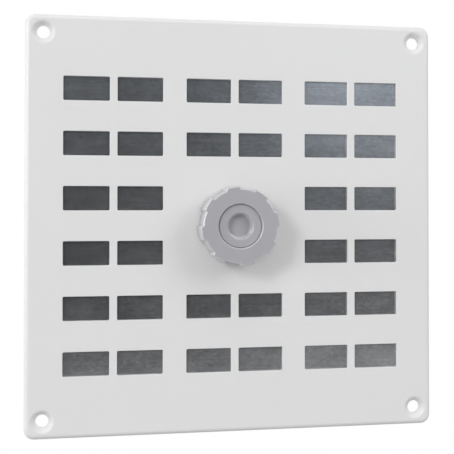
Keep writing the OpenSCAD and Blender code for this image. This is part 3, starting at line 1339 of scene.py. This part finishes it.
@dataclass
class Lamp:
    """One soft panel lamp, with its power in watts."""

    name: str
    place: Triple
    size: Pair
    power: float
    in_reflections: bool = True

    def build(self) -> None:
        """Makes the lamp, aimed at the vent's middle."""
        data = bpy.data.lights.new(self.name, "AREA")
        data.shape = "RECTANGLE"
        data.size, data.size_y = self.size
        data.energy = self.power
        made = bpy.data.objects.new(self.name, data)
        made.location = self.place
        made.rotation_euler = (-Vector(self.place)).to_track_quat("-Z", "Y").to_euler()
        made.visible_camera = False
        made.visible_glossy = self.in_reflections
        bpy.context.scene.collection.objects.link(made)


@dataclass
class Camera:
    """The photograph's camera: place, heading, tilt and roll, worked out from the plate's own outline."""

    place: Triple = (-0.0587, -0.33914, 0.00838)
    heading: float = 9.353
    tilt: float = 0.9215
    roll: float = 0.0305
    lens: float = 67.563
    rise: float = -0.08
    sensor: float = 36.0
    nearest: float = 0.01

    def build(self) -> None:
        """Makes the camera and gives it to the scene."""
        data = bpy.data.cameras.new("camera")
        data.sensor_width = self.sensor
        data.lens = self.lens
        data.shift_y = self.rise
        data.clip_start = self.nearest
        made = bpy.data.objects.new("camera", data)
        turn = Matrix.Rotation(math.radians(-self.heading), 4, "Z")
        tip = Matrix.Rotation(math.radians(90 + self.tilt), 4, "X")
        lean = Matrix.Rotation(math.radians(self.roll), 4, "Z")
        made.matrix_world = Matrix.Translation(self.place) @ turn @ tip @ lean
        bpy.context.scene.collection.objects.link(made)
        bpy.context.scene.camera = made


@dataclass
class PaintedReflectionCard:
    """Glowing card in front of the vent that only reflections see, though it is no lamp: it paints the
    reflections in the shutter, dark as a studio's dark side and lighter in parts.

    With r and u between 0 and 1 over its rightward and upward bands and f over the band at its foot, its
    painted level is dark + up_rise u (up_left + r) + foot_rise f (1 + foot_right r) + right_rise r, less a
    spot beside the camera, a painted dark spot for the camera's own reflection. Its colour goes from warm at
    the bottom to cool at the top, a painted tint of the reflections. A band holds the places between which
    its value rises, counted across, up or, for the foot, down from the frame's origin. spot holds a place
    across and up and a radius.
    """

    middle: Triple = (0.35, -0.8, 0.1025)
    size: Pair = (1.6, 0.795)
    dark: float = 0.02
    up_band: Pair = (-0.045, 0.245)
    up_rise: float = 0.565
    up_left: float = 0.13
    right_band: Pair = (0.115, 0.285)
    right_rise: float = 0.066
    foot_band: Pair = (0.168, 0.24)
    foot_rise: float = 0.265
    foot_right: float = 1.1
    spot: Triple = (-0.17, -0.05, 0.13)
    camera_reflection_dark: float = 0.045
    warm: Triple = (1.02, 1.0, 0.985)
    cool: Triple = (0.885, 0.972, 1.075)
    cool_band: Pair = (-0.15, 0.15)

    def build(self) -> None:
        """Makes the card and its shading."""
        recipe = Recipe.of_material("painted_reflection_card")
        place = recipe.node("SeparateXYZ", sockets={0: recipe.place()}).outputs
        x, z = recipe.term(place["X"]), recipe.term(place["Z"])
        upper, right = band(z, self.up_band), band(x, self.right_band)
        foot = band(-1.0 * z, self.foot_band)
        spot_x, spot_z, spot_r = self.spot
        away = (x - spot_x) * (x - spot_x) + (z - spot_z) * (z - spot_z)
        # Painted dark spot: the camera's own reflection in the shutter.
        near = (1 - away * (1 / spot_r**2)).clipped()
        # Painted reflection: the card's glow, rising upwards, to the right and at its foot.
        level = self.dark + self.up_rise * upper * (self.up_left + right)
        level = level + self.foot_rise * foot * (1 + self.foot_right * right)
        level = level + self.right_rise * right - self.camera_reflection_dark * near
        # Painted tint of the reflections, warm below and cool above.
        colour = recipe.blend(band(z, self.cool_band), self.warm, self.cool)
        recipe.end(recipe.node("Emission", sockets={"Color": colour, "Strength": level}))
        x, y, z = self.middle
        w, h = (size / 2 for size in self.size)
        corners = np.array([[x - w, y, z - h], [x + w, y, z - h], [x + w, y, z + h], [x - w, y, z + h]])
        # Only reflections see the card, so its glow paints the shutter's reflections.
        card = stage_panel("card", corners, recipe.owner)
        card.visible_camera = False
        card.visible_diffuse = False
        card.visible_shadow = False
        card.visible_transmission = False


@dataclass
class Studio:
    """Pale floor, white surroundings, soft lamps and the card that paints the shutter's reflections."""

    floor_level: float = -0.30
    floor_size: float = 8.0
    floor_tones: Pair = (0.46, 0.48)
    floor_grain: Pattern = Pattern(4.0)
    floor_white: float = 0.5
    fade_start: float = 0.15
    fade_end: float = 0.50
    ambient: float = 0.46
    card: PaintedReflectionCard = field(default_factory=PaintedReflectionCard)
    lamps: tuple[Lamp, ...] = (
        Lamp("key_lamp", (-1.88, -2.08, 1.09), (0.75, 0.75), 28.0),
        Lamp("right_lamp", (2.0, -2.0, 1.4), (1.7, 1.7), 29.0),
        Lamp("left_lamp", (-2.65, -0.4, 0.0), (1.2, 1.6), 38.0),
        Lamp("top_lamp", (0.1, -1.0, 1.9), (1.6, 0.9), 5.0),
        Lamp("back_lamp", (0.3, 2.4, 0.2), (1.6, 1.2), 24.0, in_reflections=False),
    )

    def build(self) -> None:
        """Makes the floor, the world, the lamps and the card."""
        self._floor()
        self._world()
        self.card.build()
        for lamp in self.lamps:
            lamp.build()
        bpy.context.scene.view_settings.view_transform = "Standard"
        LOG.info("studio: floor, card and %d lamps", len(self.lamps))

    def _floor(self) -> None:
        """Makes the pale floor, which fades to white with distance and keeps the shadow near the vent.

        The fade grows evenly with the distance from the vent less the floor's depth below it, from 0 at
        fade_start to 1 at fade_end. For the rays that see the floor, the white's share grows with the fade
        from floor_white to 1, and for the others it is 0.
        """
        recipe = Recipe.of_material("pale_floor")
        pale = recipe.tinted(recipe.noise(self.floor_grain), (1.0, 1.0, 1.0), self.floor_tones)
        diffuse = recipe.node("BsdfDiffuse", sockets={"Color": pale})
        white = recipe.node("Emission", sockets={"Strength": 1.0})
        away = recipe.node("VectorMath", {"operation": "LENGTH"}, {0: recipe.place()}).outputs["Value"]
        span = self.fade_end - self.fade_start
        fade = ((recipe.term(away) - abs(self.floor_level) - self.fade_start) / span).clipped()
        share = recipe.seen() * (self.floor_white + (1 - self.floor_white) * fade)
        recipe.end(recipe.node("MixShader", sockets={0: share, 1: diffuse.outputs[0], 2: white.outputs[0]}))
        half = self.floor_size / 2
        corners = np.array([[-half, -half], [half, -half], [half, half], [-half, half]])
        stage_panel("floor", np.column_stack([corners, np.full(4, self.floor_level)]), recipe.owner)

    def _world(self) -> None:
        """White to the camera and in reflections, a plain level of light elsewhere."""
        recipe = Recipe(bpy.data.worlds.new("surroundings"))
        strength = self.ambient + (1.0 - self.ambient) * recipe.seen()
        light = recipe.node("Background", sockets={"Color": (1.0, 1.0, 1.0, 1.0), "Strength": strength})
        recipe.end(light, "OutputWorld")
        bpy.context.scene.world = recipe.owner


def main() -> None:
    """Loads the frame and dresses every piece."""
    logging.basicConfig(level=logging.INFO, format="%(name)s: %(message)s")
    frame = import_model()
    Camera().build()
    Studio().build()
    coat, zinc = PowderCoat(), ZincPlate()
    FacePlate(coat, WindowPattern()).build()
    GuideAngles(coat).build()
    ShutterUnit(RolledMetal(), zinc, SpacerPlastic()).build(frame)
    ClampKnob(MouldedPlastic(), TurnedBrass(), zinc).build(frame)


if __name__ == "__main__":
    main()
